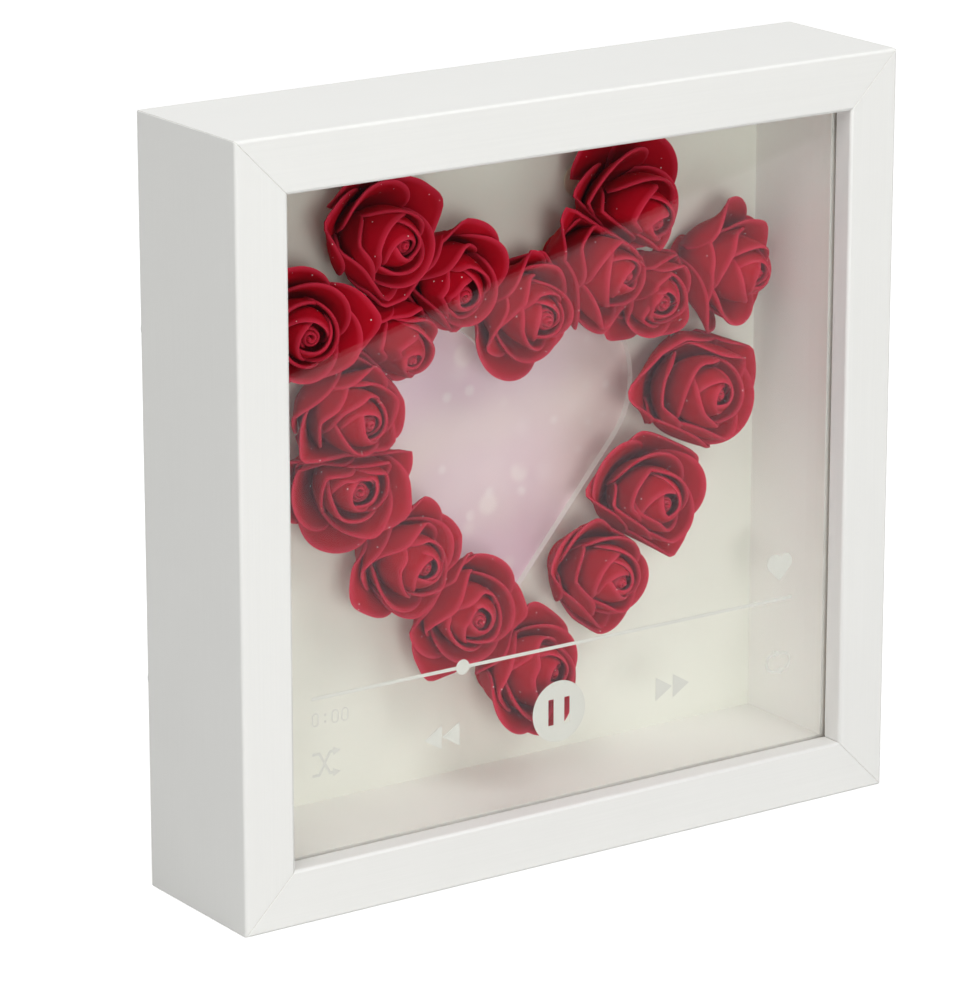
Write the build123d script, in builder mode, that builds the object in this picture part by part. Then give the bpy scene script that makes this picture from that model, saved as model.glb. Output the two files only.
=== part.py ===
# Square shadow box photo frame: a mitred white moulding, a pane with a printed music player,
# and a mat with a heart window that is ringed by foam roses.
# Millimetres. +Z is up and the front looks towards -Y. The origin is at the middle of the base,
# half way between the front and the back of the moulding.

import os
from math import asin, atan2, cos, hypot, radians, sin, sqrt

from build123d import *

# Moulding
FRAME_WIDTH = 200.0
FRAME_HEIGHT = 200.0
FRAME_DEPTH = 45.0
WALL = 9.0  # thickness of the moulding behind its lip
LIP_WIDTH = 14.7  # face of the moulding, seen from the front
LIP_DEPTH = 6.1  # how far the pane lies behind the face
FRONT_EDGE_RADIUS = 0.8

# Wedges across the mitres, driven in from the back
V_NAIL_LEG = 4.5
V_NAIL_HALF_ANGLE = 60.0
V_NAIL_STEEL = 0.6
V_NAIL_DEPTH = 10.0

# Sheets and strips stacked in the rabbet, from the front
PANE_THICKNESS = 2.0
INK_THICKNESS = 0.1
MAT_THICKNESS = 2.0
PHOTO_THICKNESS = 0.3
BOARD_THICKNESS = 3.0
BOARD_INSET = 0.2  # the board lies this far inside the back of the moulding
SHEET_CLEARANCE = 0.3  # play between a sheet and the wall of the rabbet

# Heart window, set by its distance from the opening of the moulding
HEART_SIDE_MARGIN = 39.8
HEART_TOP_MARGIN = 49.0
HEART_BOTTOM_MARGIN = 35.6
LOBE_OVERLAP = 5.0  # how far the circles of the two lobes overlap
PHOTO_BORDER = 12.0  # picture sheet hidden behind the mat round the window

# Foam roses: tip radius of the outer petals and height of the bud
WIDE_ROSE = (22.5, 25.0)
LARGE_ROSE = (19.6, 25.0)
MEDIUM_ROSE = (18.0, 24.0)
SMALL_ROSE = (15.4, 22.0)
PETAL_COUNT = 11
PETAL_THICKNESS = 1.0
PETAL_TURN = 137.5  # degrees from one petal to the next
INNER_PETAL_RADIUS = 5.3
INNER_PETAL_SPREAD = 165.0
OUTER_PETAL_SPREAD = 112.0
PETAL_SHOULDER = 0.7  # height of a petal's corners, as a share of its tip
OUTER_PETAL_DROP = 10.0  # the outer petals' tips lie this far below the bud
INNER_PETAL_BULGE = 1.6
OUTER_PETAL_BULGE = 2.7
INNER_PETAL_FOOT = (2.0, 8.2)  # radius and height where a petal grows out of the stem
OUTER_PETAL_FOOT = (4.0, 1.4)
STEM_RADIUS = 6.0
STEM_TOP_RADIUS = 2.4
STEM_TOP = 9.6
STEM_SHOULDER = 1.0
STEM_LENGTH = 4.0  # spare length, cut off flat where the rose is glued down
BUD_STRIP = 0.9
BUD_START_RADIUS = 0.8
BUD_GROWTH = 0.75  # radius gained in each half turn of the rolled bud
BUD_HALF_TURNS = 4
BUD_FOOT = 6.0
BUD_DROP = 1.6  # the bud ends this far below the innermost petal
ROSE_GAP = 0.4
GLUE_RADIUS = 5.0
GLUE_THICKNESS = 1.0

# Player symbols, printed in white on the inside of the pane
PRINT_SIDE_MARGIN = 10.3
LINE_ABOVE_LIP = 40.3
LINE_WIDTH = 0.9
KNOB_RADIUS = 2.0
KNOB_FROM_MIDDLE = 29.8
SYMBOL_ROW_BELOW_LINE = 17.4
PAUSE_DISC_RADIUS = 8.2
PAUSE_BAR = (1.7, 7.0)
PAUSE_BAR_SPACING = 5.0
SKIP_FROM_MIDDLE = 36.0
SKIP_ARROW = (5.2, 6.4)
SKIP_ARROW_GAP = 0.3
SYMBOL_WIDTH = 8.4
SYMBOL_HEIGHT = 5.6
SYMBOL_STROKE = 0.7
ARROW_HEAD = 2.2
CLOCK_BELOW_LINE = 5.6
DIGIT = (2.1, 3.6)
DIGIT_PITCH = 2.9
COLON_DOT_RADIUS = 0.35
LIKE_ABOVE_LINE = 10.0
LIKE_RADIUS = 1.7

# Turn buttons on the back, each on its own screw
BUTTON_SPACING = 90.0
BUTTON_LENGTH = 22.0
BUTTON_WIDTH = 8.0
BUTTON_THICKNESS = 1.0
BUTTON_EDGE = 0.25
BUTTON_RIB = (9.0, 2.4)
BUTTON_RIB_HEIGHT = 0.5
BUTTON_RIB_TAPER = 30.0
BUTTON_PLAY = 0.1  # between button and moulding, and between button and screw head
PIVOT_CLEARANCE = 0.05
SCREW_RADIUS = 1.45
SCREW_LENGTH = 12.0
SCREW_POINT = 3.0
SCREW_HEAD_RADIUS = 2.8
SCREW_HEAD_HEIGHT = 1.6
SCREW_HEAD_ROUND = 0.7
SCREW_CROSS = (3.2, 0.7)
SCREW_CROSS_DEPTH = 0.9

# Sawtooth hanger on the back of the top rail
HANGER_LENGTH = 44.0
HANGER_HEIGHT = 7.6
HANGER_STEEL = 0.7
HANGER_RISE = 1.4
HANGER_BRIDGE = 24.0
HANGER_SLOPE = 1.6
TOOTH_PITCH = 2.4
TOOTH_DEPTH = 1.7
TOOTH_COUNT = 9
HANGER_NAIL_RADIUS = 0.75
HANGER_NAIL_LENGTH = 9.0
HANGER_NAIL_HEAD_RADIUS = 1.7
HANGER_NAIL_HEAD_HEIGHT = 0.7
HANGER_NAIL_HEAD_TAPER = 20.0

# Depths of the stack, and the clear space inside
front = -FRAME_DEPTH / 2
back = FRAME_DEPTH / 2
pane_front = front + LIP_DEPTH
pane_back = pane_front + PANE_THICKNESS
board_back = back - BOARD_INSET
board_front = board_back - BOARD_THICKNESS
photo_front = board_front - PHOTO_THICKNESS
mat_front = photo_front - MAT_THICKNESS
glue_front = mat_front - GLUE_THICKNESS
mid_height = FRAME_HEIGHT / 2
sheet_width = FRAME_WIDTH - 2 * (WALL + SHEET_CLEARANCE)
sheet_height = FRAME_HEIGHT - 2 * (WALL + SHEET_CLEARANCE)
opening_width = FRAME_WIDTH - 2 * LIP_WIDTH
opening_height = FRAME_HEIGHT - 2 * LIP_WIDTH
spacer_thickness = LIP_WIDTH - WALL - SHEET_CLEARANCE

os.makedirs("parts", exist_ok=True)


def save(part, name):
    """Label a finished piece and write it as its own file."""
    part.label = name
    export_step(part, f"parts/{name}.step")


def facing(depth, height=mid_height):
    """Plane that looks to the front, with its x to the right and its y up."""
    return Plane(origin=(0, depth, height), x_dir=(1, 0, 0), z_dir=(0, -1, 0))


def from_behind(x, depth, z, x_way=-1):
    """Plane that looks to the back, with its x along -X, or +X if x_way is 1."""
    return Plane(origin=(x, depth, z), x_dir=(x_way, 0, 0), z_dir=(0, 1, 0))


# Wedges: one V across each mitre, flush with the back of the moulding
def wedge_planes():
    for x_way in (1, -1):
        for z_way in (1, -1):
            corner_x = x_way * (FRAME_WIDTH - WALL) / 2
            corner_z = mid_height + z_way * (FRAME_HEIGHT - WALL) / 2
            yield Plane(origin=(corner_x, back, corner_z), x_dir=(-x_way, 0, -z_way), z_dir=(0, 1, 0))


leg_along = V_NAIL_LEG * cos(radians(V_NAIL_HALF_ANGLE))
leg_across = V_NAIL_LEG * sin(radians(V_NAIL_HALF_ANGLE))
with BuildPart() as corner_v_nails:
    for wedge_plane in wedge_planes():
        with BuildSketch(wedge_plane):
            with BuildLine():
                Polyline((leg_along, leg_across), (0, 0), (leg_along, -leg_across))
            trace(line_width=V_NAIL_STEEL)
        extrude(amount=-V_NAIL_DEPTH)
save(corner_v_nails.part, "corner_v_nails")

# Pivot screws of the turn buttons
pivot_x = (FRAME_WIDTH - WALL) / 2
pivots = {
    "upper_left": (-pivot_x, mid_height + BUTTON_SPACING / 2),
    "lower_left": (-pivot_x, mid_height - BUTTON_SPACING / 2),
    "upper_right": (pivot_x, mid_height + BUTTON_SPACING / 2),
    "lower_right": (pivot_x, mid_height - BUTTON_SPACING / 2),
}
head_seat = 2 * BUTTON_PLAY + BUTTON_THICKNESS
head_top = head_seat + SCREW_HEAD_HEIGHT
with BuildPart() as button_screws:
    for x, z in pivots.values():
        with BuildSketch(Plane(origin=(x, back, z), x_dir=(1, 0, 0), z_dir=(0, 0, 1))) as half:
            with BuildLine():
                Polyline(
                    (0, -SCREW_LENGTH),
                    (SCREW_RADIUS, SCREW_POINT - SCREW_LENGTH),
                    (SCREW_RADIUS, head_seat),
                    (SCREW_HEAD_RADIUS, head_seat),
                    (SCREW_HEAD_RADIUS, head_top),
                    (0, head_top),
                    close=True,
                )
            make_face()
            fillet(half.vertices().sort_by(lambda v: v.X + v.Y)[-1], SCREW_HEAD_ROUND)
        revolve(axis=Axis((x, back, z), (0, 1, 0)))
        with BuildSketch(from_behind(x, back + head_top, z)):
            Rectangle(*SCREW_CROSS)
            Rectangle(*SCREW_CROSS, rotation=90)
        extrude(amount=-SCREW_CROSS_DEPTH, mode=Mode.SUBTRACT)
save(button_screws.part, "button_screws")

# Nails of the hanger
hanger_foot = FRAME_HEIGHT - (WALL + HANGER_HEIGHT) / 2
hanger_middle = FRAME_HEIGHT - WALL / 2
ear_length = (HANGER_LENGTH - HANGER_BRIDGE) / 2 - HANGER_SLOPE
ear_middle = (HANGER_LENGTH - ear_length) / 2
with BuildPart() as hanger_nails:
    for x in (-ear_middle, ear_middle):
        with BuildSketch(from_behind(x, back + HANGER_STEEL, hanger_middle)):
            Circle(HANGER_NAIL_HEAD_RADIUS)
        extrude(amount=HANGER_NAIL_HEAD_HEIGHT, taper=HANGER_NAIL_HEAD_TAPER)
        with BuildSketch(from_behind(x, back + HANGER_STEEL, hanger_middle)):
            Circle(HANGER_NAIL_RADIUS)
        extrude(amount=-HANGER_NAIL_LENGTH)
save(hanger_nails.part, "hanger_nails")

# Moulding: an L section, mitred at both ends, with the holes that its fasteners make
rails = {
    "bottom_rail": (Vector(0, 0, 0), Vector(0, 0, 1), FRAME_WIDTH),
    "top_rail": (Vector(0, 0, FRAME_HEIGHT), Vector(0, 0, -1), FRAME_WIDTH),
    "left_stile": (Vector(-FRAME_WIDTH / 2, 0, mid_height), Vector(1, 0, 0), FRAME_HEIGHT),
    "right_stile": (Vector(FRAME_WIDTH / 2, 0, mid_height), Vector(-1, 0, 0), FRAME_HEIGHT),
}
for name, (middle, inward, length) in rails.items():
    along = Vector(0, 1, 0).cross(inward)
    with BuildPart() as rail:
        with BuildSketch(Plane(origin=middle, x_dir=(0, 1, 0), z_dir=along)) as section:
            with BuildLine():
                Polyline(
                    (front, 0),
                    (back, 0),
                    (back, WALL),
                    (pane_front, WALL),
                    (pane_front, LIP_WIDTH),
                    (front, LIP_WIDTH),
                    close=True,
                )
            make_face()
            fillet(section.vertices().group_by(Axis.X)[0], FRONT_EDGE_RADIUS)
        extrude(amount=length / 2, both=True)
        for end in (1, -1):
            corner = middle + along * (end * length / 2)
            split(bisect_by=Plane(origin=corner, z_dir=along * end + inward), keep=Keep.BOTTOM)
        for fastener in (corner_v_nails, button_screws, hanger_nails):
            add(fastener.part, mode=Mode.SUBTRACT)
    save(rail.part, name)

# Pane of clear glass
with BuildPart() as front_pane:
    with BuildSketch(facing(pane_front)):
        Rectangle(sheet_width, sheet_height)
    extrude(amount=-PANE_THICKNESS)
save(front_pane.part, "front_pane")

# Ink on the inside of the pane: a progress line with its knob, and a row of player symbols
line_half = opening_width / 2 - PRINT_SIDE_MARGIN
line_height = LIP_WIDTH + LINE_ABOVE_LIP
end_symbol = line_half - SYMBOL_WIDTH / 2
arrow_row = SYMBOL_HEIGHT / 2


def arrow_head(x, y, way):
    """Triangle whose base lies at x and whose point looks along +x or -x."""
    with Locations((x, y)):
        Polygon((0, ARROW_HEAD / 2), (way * ARROW_HEAD, 0), (0, -ARROW_HEAD / 2), align=None)


with BuildPart() as player_print:
    with BuildSketch(facing(pane_back + INK_THICKNESS, line_height)):
        Rectangle(2 * line_half, LINE_WIDTH)
        with Locations((-KNOB_FROM_MIDDLE, 0)):
            Circle(KNOB_RADIUS)
    extrude(amount=INK_THICKNESS)
    with BuildSketch(facing(pane_back + INK_THICKNESS, line_height - SYMBOL_ROW_BELOW_LINE)):
        Circle(PAUSE_DISC_RADIUS)
        with GridLocations(PAUSE_BAR_SPACING, 0, 2, 1):
            Rectangle(*PAUSE_BAR, mode=Mode.SUBTRACT)
        for way in (1, -1):
            second = SKIP_FROM_MIDDLE + SKIP_ARROW_GAP
            with Locations((way * second, 0), (way * (SKIP_FROM_MIDDLE - SKIP_ARROW[0]), 0)):
                Polygon(
                    (0, SKIP_ARROW[1] / 2), (way * SKIP_ARROW[0], 0), (0, -SKIP_ARROW[1] / 2), align=None
                )
    extrude(amount=INK_THICKNESS)
    # Two crossing arrows: play in any order
    with BuildSketch(facing(pane_back + INK_THICKNESS, line_height - SYMBOL_ROW_BELOW_LINE)):
        for rise in (1, -1):
            with BuildLine(Location((-end_symbol, 0))):
                Polyline(
                    (-SYMBOL_WIDTH / 2, rise * arrow_row),
                    (-SYMBOL_WIDTH / 4, rise * arrow_row),
                    (SYMBOL_WIDTH / 8, -rise * arrow_row),
                    (SYMBOL_WIDTH / 2 - ARROW_HEAD, -rise * arrow_row),
                )
            trace(line_width=SYMBOL_STROKE)
            arrow_head(SYMBOL_WIDTH / 2 - ARROW_HEAD - end_symbol, rise * arrow_row, 1)
    extrude(amount=INK_THICKNESS)
    # A loop with an arrow on each long side: play again
    with BuildSketch(facing(pane_back + INK_THICKNESS, line_height - SYMBOL_ROW_BELOW_LINE)):
        with Locations((end_symbol, 0)):
            SlotOverall(SYMBOL_WIDTH, SYMBOL_HEIGHT)
            SlotOverall(
                SYMBOL_WIDTH - 2 * SYMBOL_STROKE, SYMBOL_HEIGHT - 2 * SYMBOL_STROKE, mode=Mode.SUBTRACT
            )
        loop_side = (SYMBOL_HEIGHT - SYMBOL_STROKE) / 2
        for way in (1, -1):
            arrow_head(end_symbol - way * ARROW_HEAD / 2, way * loop_side, way)
    extrude(amount=INK_THICKNESS)
    # Elapsed time, all noughts
    with BuildSketch(facing(pane_back + INK_THICKNESS, line_height - CLOCK_BELOW_LINE)):
        for place in (0, 2, 3):
            with Locations((DIGIT[0] / 2 - line_half + place * DIGIT_PITCH, 0)):
                SlotOverall(DIGIT[1], DIGIT[0], rotation=90)
                SlotOverall(
                    DIGIT[1] - SYMBOL_STROKE, DIGIT[0] - SYMBOL_STROKE, rotation=90, mode=Mode.SUBTRACT
                )
        with Locations((DIGIT[0] / 2 - line_half + DIGIT_PITCH, 0)):
            with GridLocations(0, DIGIT[1] / 2, 1, 2):
                Circle(COLON_DOT_RADIUS)
    extrude(amount=INK_THICKNESS)
    # Small heart: liked
    with BuildSketch(facing(pane_back + INK_THICKNESS, line_height + LIKE_ABOVE_LINE)):
        with Locations((end_symbol - LIKE_RADIUS, 0), (end_symbol + LIKE_RADIUS, 0)):
            Circle(LIKE_RADIUS * sqrt(2))
        with Locations((end_symbol, -LIKE_RADIUS)):
            Rectangle(2 * LIKE_RADIUS * sqrt(2), 2 * LIKE_RADIUS * sqrt(2), rotation=45)
    extrude(amount=INK_THICKNESS)
save(player_print.part, "player_print")

# Spacer strips: the upright ones run the full height, and the others fit between them
strip_depth = mat_front - pane_back
spacers = {
    "spacer_left": (-1, 0, spacer_thickness, sheet_height),
    "spacer_right": (1, 0, spacer_thickness, sheet_height),
    "spacer_bottom": (0, -1, opening_width, spacer_thickness),
    "spacer_top": (0, 1, opening_width, spacer_thickness),
}
for name, (x_way, z_way, strip_width, strip_height) in spacers.items():
    strip_x = x_way * (opening_width + spacer_thickness) / 2
    strip_z = z_way * (opening_height + spacer_thickness) / 2
    with BuildPart() as spacer:
        with BuildSketch(facing(pane_back)):
            with Locations((strip_x, strip_z)):
                Rectangle(strip_width, strip_height)
        extrude(amount=-strip_depth)
    save(spacer.part, name)

# Heart outline: two round lobes, and straight sides that leave them at a tangent
heart_width = opening_width - 2 * HEART_SIDE_MARGIN
heart_tip = LIP_WIDTH + HEART_BOTTOM_MARGIN
heart_top = FRAME_HEIGHT - LIP_WIDTH - HEART_TOP_MARGIN
lobe_radius = (heart_width + LOBE_OVERLAP) / 4
lobe_x = heart_width / 2 - lobe_radius
lobe_z = heart_top - lobe_radius
notch_z = lobe_z + sqrt(lobe_radius**2 - lobe_x**2)
tip_to_lobe = hypot(lobe_x, lobe_z - heart_tip)
side_angle = atan2(lobe_x, lobe_z - heart_tip) + asin(lobe_radius / tip_to_lobe)
side_length = sqrt(tip_to_lobe**2 - lobe_radius**2)


def on_side(way, share, out):
    """Point beside a straight side of the heart: its share of the way up from the tip, and out."""
    run = share * side_length
    x = run * sin(side_angle) + out * cos(side_angle)
    return way * x, heart_tip + run * cos(side_angle) - out * sin(side_angle)


def on_lobe(way, angle, out):
    """Point beside a lobe: angle up from its outer side, and out from the edge."""
    reach = lobe_radius + out
    return way * (lobe_x + reach * cos(radians(angle))), lobe_z + reach * sin(radians(angle))


with BuildPart() as mat_board:
    with BuildSketch(facing(mat_front)):
        Rectangle(sheet_width, sheet_height)
    extrude(amount=-MAT_THICKNESS)
    with BuildSketch(facing(mat_front, 0)):
        with BuildLine():
            side = Line((0, heart_tip), on_side(1, 1, 0))
            ThreePointArc(side @ 1, on_lobe(1, 60, 0), (0, notch_z))
            mirror(about=Plane.YZ)
        make_face()
    extrude(amount=-MAT_THICKNESS, mode=Mode.SUBTRACT)
save(mat_board.part, "mat_board")

# Picture sheet, a little larger than the window
with BuildPart() as photo_print:
    with BuildSketch(facing(photo_front, (heart_top + heart_tip) / 2)):
        Rectangle(heart_width + 2 * PHOTO_BORDER, heart_top - heart_tip + 2 * PHOTO_BORDER)
    extrude(amount=-PHOTO_THICKNESS)
save(photo_print.part, "photo_print")

# Hardboard that closes the back
with BuildPart() as back_board:
    with BuildSketch(facing(board_front)):
        Rectangle(sheet_width, sheet_height)
    extrude(amount=-BOARD_THICKNESS)
save(back_board.part, "back_board")


# Roses: a stem, a rolled bud, and petals that open more and more towards the outside
def between(inner, outer, share):
    return inner + (outer - inner) * share


def petal(radius, height, share):
    """Cupped petal about the Z axis, opening towards +X; share runs from the bud, 0, to the outside, 1."""
    tip_radius = between(INNER_PETAL_RADIUS, radius, share)
    tip_height = between(height, height - OUTER_PETAL_DROP, share**2)
    foot_radius = between(INNER_PETAL_FOOT[0], OUTER_PETAL_FOOT[0], share)
    foot_height = between(INNER_PETAL_FOOT[1], OUTER_PETAL_FOOT[1], share)
    bulge = between(INNER_PETAL_BULGE, OUTER_PETAL_BULGE, share)
    spread = between(INNER_PETAL_SPREAD, OUTER_PETAL_SPREAD, share)
    start = radians(-spread / 2)
    wall_plane = Plane(
        origin=(0, 0, 0), x_dir=(cos(start), sin(start), 0), z_dir=(sin(start), -cos(start), 0)
    )
    half_width = tip_radius * sin(radians(spread / 2)) + PETAL_THICKNESS
    shoulder = PETAL_SHOULDER * tip_height
    with BuildPart() as leaf:
        with BuildSketch(wall_plane):
            with BuildLine():
                SagittaArc((foot_radius, foot_height), (tip_radius, tip_height), -bulge)
            trace(line_width=PETAL_THICKNESS)
        revolve(axis=Axis.Z, revolution_arc=spread)
        with BuildSketch(Plane.YZ):
            with BuildLine():
                crown = ThreePointArc((-half_width, shoulder), (0, tip_height), (half_width, shoulder))
                Polyline(crown @ 1, (half_width, 0), (-half_width, 0), crown @ 0)
            make_face()
        extrude(amount=2 * radius, both=True, mode=Mode.INTERSECT)
    return leaf.part


def bloom(radius, height):
    """Whole rose on the Z axis, with its stem reaching below the XY plane."""
    leaves = []
    for index in range(PETAL_COUNT):
        leaf = petal(radius, height, index / (PETAL_COUNT - 1))
        leaves.append(leaf.rotate(Axis.Z, index * PETAL_TURN))
    with BuildPart() as rose_head:
        with BuildSketch(Plane.XZ):
            with BuildLine():
                Polyline(
                    (0, -STEM_LENGTH),
                    (STEM_RADIUS, -STEM_LENGTH),
                    (STEM_RADIUS, STEM_SHOULDER),
                    (STEM_TOP_RADIUS, STEM_TOP),
                    (0, STEM_TOP),
                    close=True,
                )
            make_face()
        revolve(axis=Axis.Z)
        with BuildSketch(Plane.XY.offset(BUD_FOOT)):
            with BuildLine():
                reach = 0
                for half_turn in range(BUD_HALF_TURNS):
                    way = 1 - 2 * (half_turn % 2)
                    half_width = BUD_START_RADIUS + half_turn * BUD_GROWTH
                    middle = reach + way * half_width
                    ThreePointArc((reach, 0), (middle, way * half_width), (middle + way * half_width, 0))
                    reach = middle + way * half_width
            trace(line_width=BUD_STRIP)
        extrude(amount=height - BUD_DROP - BUD_FOOT)
        add(leaves)
    return rose_head.part


# Each rose: its place beside the heart, its size, how far and which way it leans, and its turn
rose_places = [
    (on_lobe(-1, 66, 33), LARGE_ROSE, 6, 0, 0),
    (on_lobe(-1, 93, 18), MEDIUM_ROSE, 18, 240, 130),
    (on_lobe(-1, 38, 28), MEDIUM_ROSE, 16, 180, 70),
    (on_lobe(-1, 58, 10.5), SMALL_ROSE, 25, 290, 200),
    ((0, notch_z + 18.4), MEDIUM_ROSE, 8, 300, 310),
    (on_lobe(1, 93, 12.5), LARGE_ROSE, 20, 0, 160),
    (on_lobe(1, 84, 31.5), WIDE_ROSE, 28, 305, 150),
    (on_lobe(1, 53, 11), SMALL_ROSE, 12, 225, 20),
    (on_lobe(1, 39, 25), LARGE_ROSE, 24, 350, 290),
    (on_lobe(1, -5, 8), WIDE_ROSE, 7, 36, 104),
    (on_side(1, 0.85, 8.5), LARGE_ROSE, 4, 170, 340),
    (on_side(1, 0.45, 6.5), MEDIUM_ROSE, 8, 330, 220),
    ((0, heart_tip - 9.5), LARGE_ROSE, 14, 50, 45),
    (on_side(-1, 0.345, 3.2), MEDIUM_ROSE, 8, 200, 170),
    (on_side(-1, 0.76, 8.5), MEDIUM_ROSE, 3, 0, 265),
    (on_lobe(-1, -17, 6.5), LARGE_ROSE, 12, 180, 90),
    (on_lobe(-1, 14, 10), LARGE_ROSE, 4, 0, 325),
]


def rose_plane(spot, lean, toward, turn):
    """Plane of a rose's foot: its normal leans out of the mat, and its x is turned about the normal."""
    sideways = sin(radians(lean))
    axis = Vector(
        sideways * cos(radians(toward)), -cos(radians(lean)), sideways * sin(radians(toward))
    )
    across = axis.cross(Vector(1, 0, 0)).rotate(Axis((0, 0, 0), axis), turn)
    return Plane(origin=(spot[0], glue_front, spot[1]), x_dir=across, z_dir=axis)


blooms = {size: bloom(*size) for size in (WIDE_ROSE, LARGE_ROSE, MEDIUM_ROSE, SMALL_ROSE)}
feet = [rose_plane(spot, lean, toward, turn) for spot, size, lean, toward, turn in rose_places]
sizes = [size for spot, size, lean, toward, turn in rose_places]
centres = [foot.origin + foot.z_dir * (size[1] / 2) for foot, size in zip(feet, sizes)]

# Room for the roses: between the walls, the glue and the pane
with BuildPart() as rose_room:
    with BuildSketch(facing(glue_front)):
        Rectangle(opening_width - 2 * ROSE_GAP, opening_height - 2 * ROSE_GAP)
    extrude(amount=glue_front - pane_back - INK_THICKNESS - ROSE_GAP)

for index, (foot, size, middle) in enumerate(zip(feet, sizes, centres)):
    with BuildPart() as whole_rose:
        with Locations(foot):
            add(blooms[size])
        add(rose_room.part, mode=Mode.INTERSECT)
        for other_size, other_middle in zip(sizes, centres):
            apart = other_middle - middle
            if 0 < apart.length < size[0] + other_size[0]:
                share = size[0] / (size[0] + other_size[0])
                border = middle + apart * share - apart.normalized() * (ROSE_GAP / 2)
                split(bisect_by=Plane(origin=border, z_dir=apart), keep=Keep.BOTTOM)
    with BuildPart() as rose:
        add(whole_rose.part.solids().sort_by(SortBy.VOLUME)[-1])
    save(rose.part, f"rose_{index + 1:02d}")

# Hot-melt dots between the mat and the roses
with BuildPart() as glue_dots:
    with BuildSketch(facing(mat_front, 0)):
        with Locations(*[spot for spot, size, lean, toward, turn in rose_places]):
            Circle(GLUE_RADIUS)
    extrude(amount=GLUE_THICKNESS)
save(glue_dots.part, "glue_dots")

# Turn buttons: a pressed strip with a stiffening rib, turned inwards over the board
button_seat = back + BUTTON_PLAY
for name, (x, z) in pivots.items():
    inward = -1 if x > 0 else 1
    with BuildPart() as turn_button:
        with BuildSketch(from_behind(x, button_seat, z, inward)):
            with Locations(((BUTTON_LENGTH - BUTTON_WIDTH) / 2, 0)):
                SlotOverall(BUTTON_LENGTH, BUTTON_WIDTH)
        extrude(amount=BUTTON_THICKNESS)
        chamfer(turn_button.faces().sort_by(Axis.Y)[-1].edges(), BUTTON_EDGE)
        with BuildSketch(from_behind(x, button_seat + BUTTON_THICKNESS, z, inward)):
            with Locations(((BUTTON_LENGTH - BUTTON_WIDTH + SCREW_HEAD_RADIUS) / 2, 0)):
                SlotOverall(*BUTTON_RIB)
        extrude(amount=BUTTON_RIB_HEIGHT, taper=BUTTON_RIB_TAPER)
        with BuildSketch(from_behind(x, button_seat, z, inward)):
            Circle(SCREW_RADIUS + PIVOT_CLEARANCE)
        extrude(amount=BUTTON_THICKNESS, mode=Mode.SUBTRACT)
    save(turn_button.part, f"turn_button_{name}")

# Sawtooth hanger: two flat ears and a raised bridge with teeth along its lower edge
bridge_half = HANGER_BRIDGE / 2
strip_origin = (0, back + HANGER_STEEL / 2, hanger_foot)
with BuildPart() as sawtooth_hanger:
    with BuildSketch(Plane(origin=strip_origin, x_dir=(1, 0, 0), z_dir=(0, 0, 1))):
        with BuildLine():
            Polyline(
                (-HANGER_LENGTH / 2, 0),
                (-bridge_half - HANGER_SLOPE, 0),
                (-bridge_half, HANGER_RISE),
                (bridge_half, HANGER_RISE),
                (bridge_half + HANGER_SLOPE, 0),
                (HANGER_LENGTH / 2, 0),
            )
        trace(line_width=HANGER_STEEL)
    extrude(amount=HANGER_HEIGHT)
    with BuildSketch(from_behind(0, back + HANGER_RISE + HANGER_STEEL, hanger_foot)):
        with GridLocations(TOOTH_PITCH, 0, TOOTH_COUNT, 1):
            Polygon((-TOOTH_PITCH / 2, 0), (0, TOOTH_DEPTH), (TOOTH_PITCH / 2, 0), align=None)
    extrude(amount=-HANGER_STEEL, mode=Mode.SUBTRACT)
    add(hanger_nails.part, mode=Mode.SUBTRACT)
save(sawtooth_hanger.part, "sawtooth_hanger")
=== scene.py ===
from math import cos, pi, radians, sin

import bmesh
import bpy
import numpy as np
from mathutils import Matrix, Vector


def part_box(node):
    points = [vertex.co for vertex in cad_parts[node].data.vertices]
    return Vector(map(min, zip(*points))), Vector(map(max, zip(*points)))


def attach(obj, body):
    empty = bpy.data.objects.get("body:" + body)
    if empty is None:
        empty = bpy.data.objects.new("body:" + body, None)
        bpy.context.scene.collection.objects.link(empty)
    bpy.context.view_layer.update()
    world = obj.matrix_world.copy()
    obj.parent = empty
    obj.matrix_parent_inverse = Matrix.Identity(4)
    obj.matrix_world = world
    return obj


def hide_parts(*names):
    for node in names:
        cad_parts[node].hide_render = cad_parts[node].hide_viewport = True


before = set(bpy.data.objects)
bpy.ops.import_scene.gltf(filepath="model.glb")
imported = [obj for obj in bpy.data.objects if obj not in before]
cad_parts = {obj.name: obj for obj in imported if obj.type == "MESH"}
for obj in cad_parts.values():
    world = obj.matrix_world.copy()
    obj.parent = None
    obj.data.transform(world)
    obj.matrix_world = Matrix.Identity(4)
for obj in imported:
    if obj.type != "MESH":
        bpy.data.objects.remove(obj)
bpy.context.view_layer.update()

# Moulding: four lengths of MDF with a step for the glass, wrapped in white foil where they show.
# The ends are cut at 45 degrees, glued and wedged, so a hair line runs across each corner,
# and the raw board shows in the step and on the back.
rail_low, rail_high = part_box("bottom_rail")
half_width = rail_high.x
frame_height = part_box("top_rail")[1].z
lip_width = rail_high.z - rail_low.z
moulding_front = rail_low.y
moulding_back = rail_high.y
pane_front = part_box("front_pane")[0].y
wall = 0.009  # thickness of the moulding beside the step
edge_round = 0.0008
foil_fold = 0.00035
raw_edge = 0.0002
mitre_ease = 0.00014  # taken off the edges of the mitre cuts
mitre_gap = 0.00002  # half the width of the hair line


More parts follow.
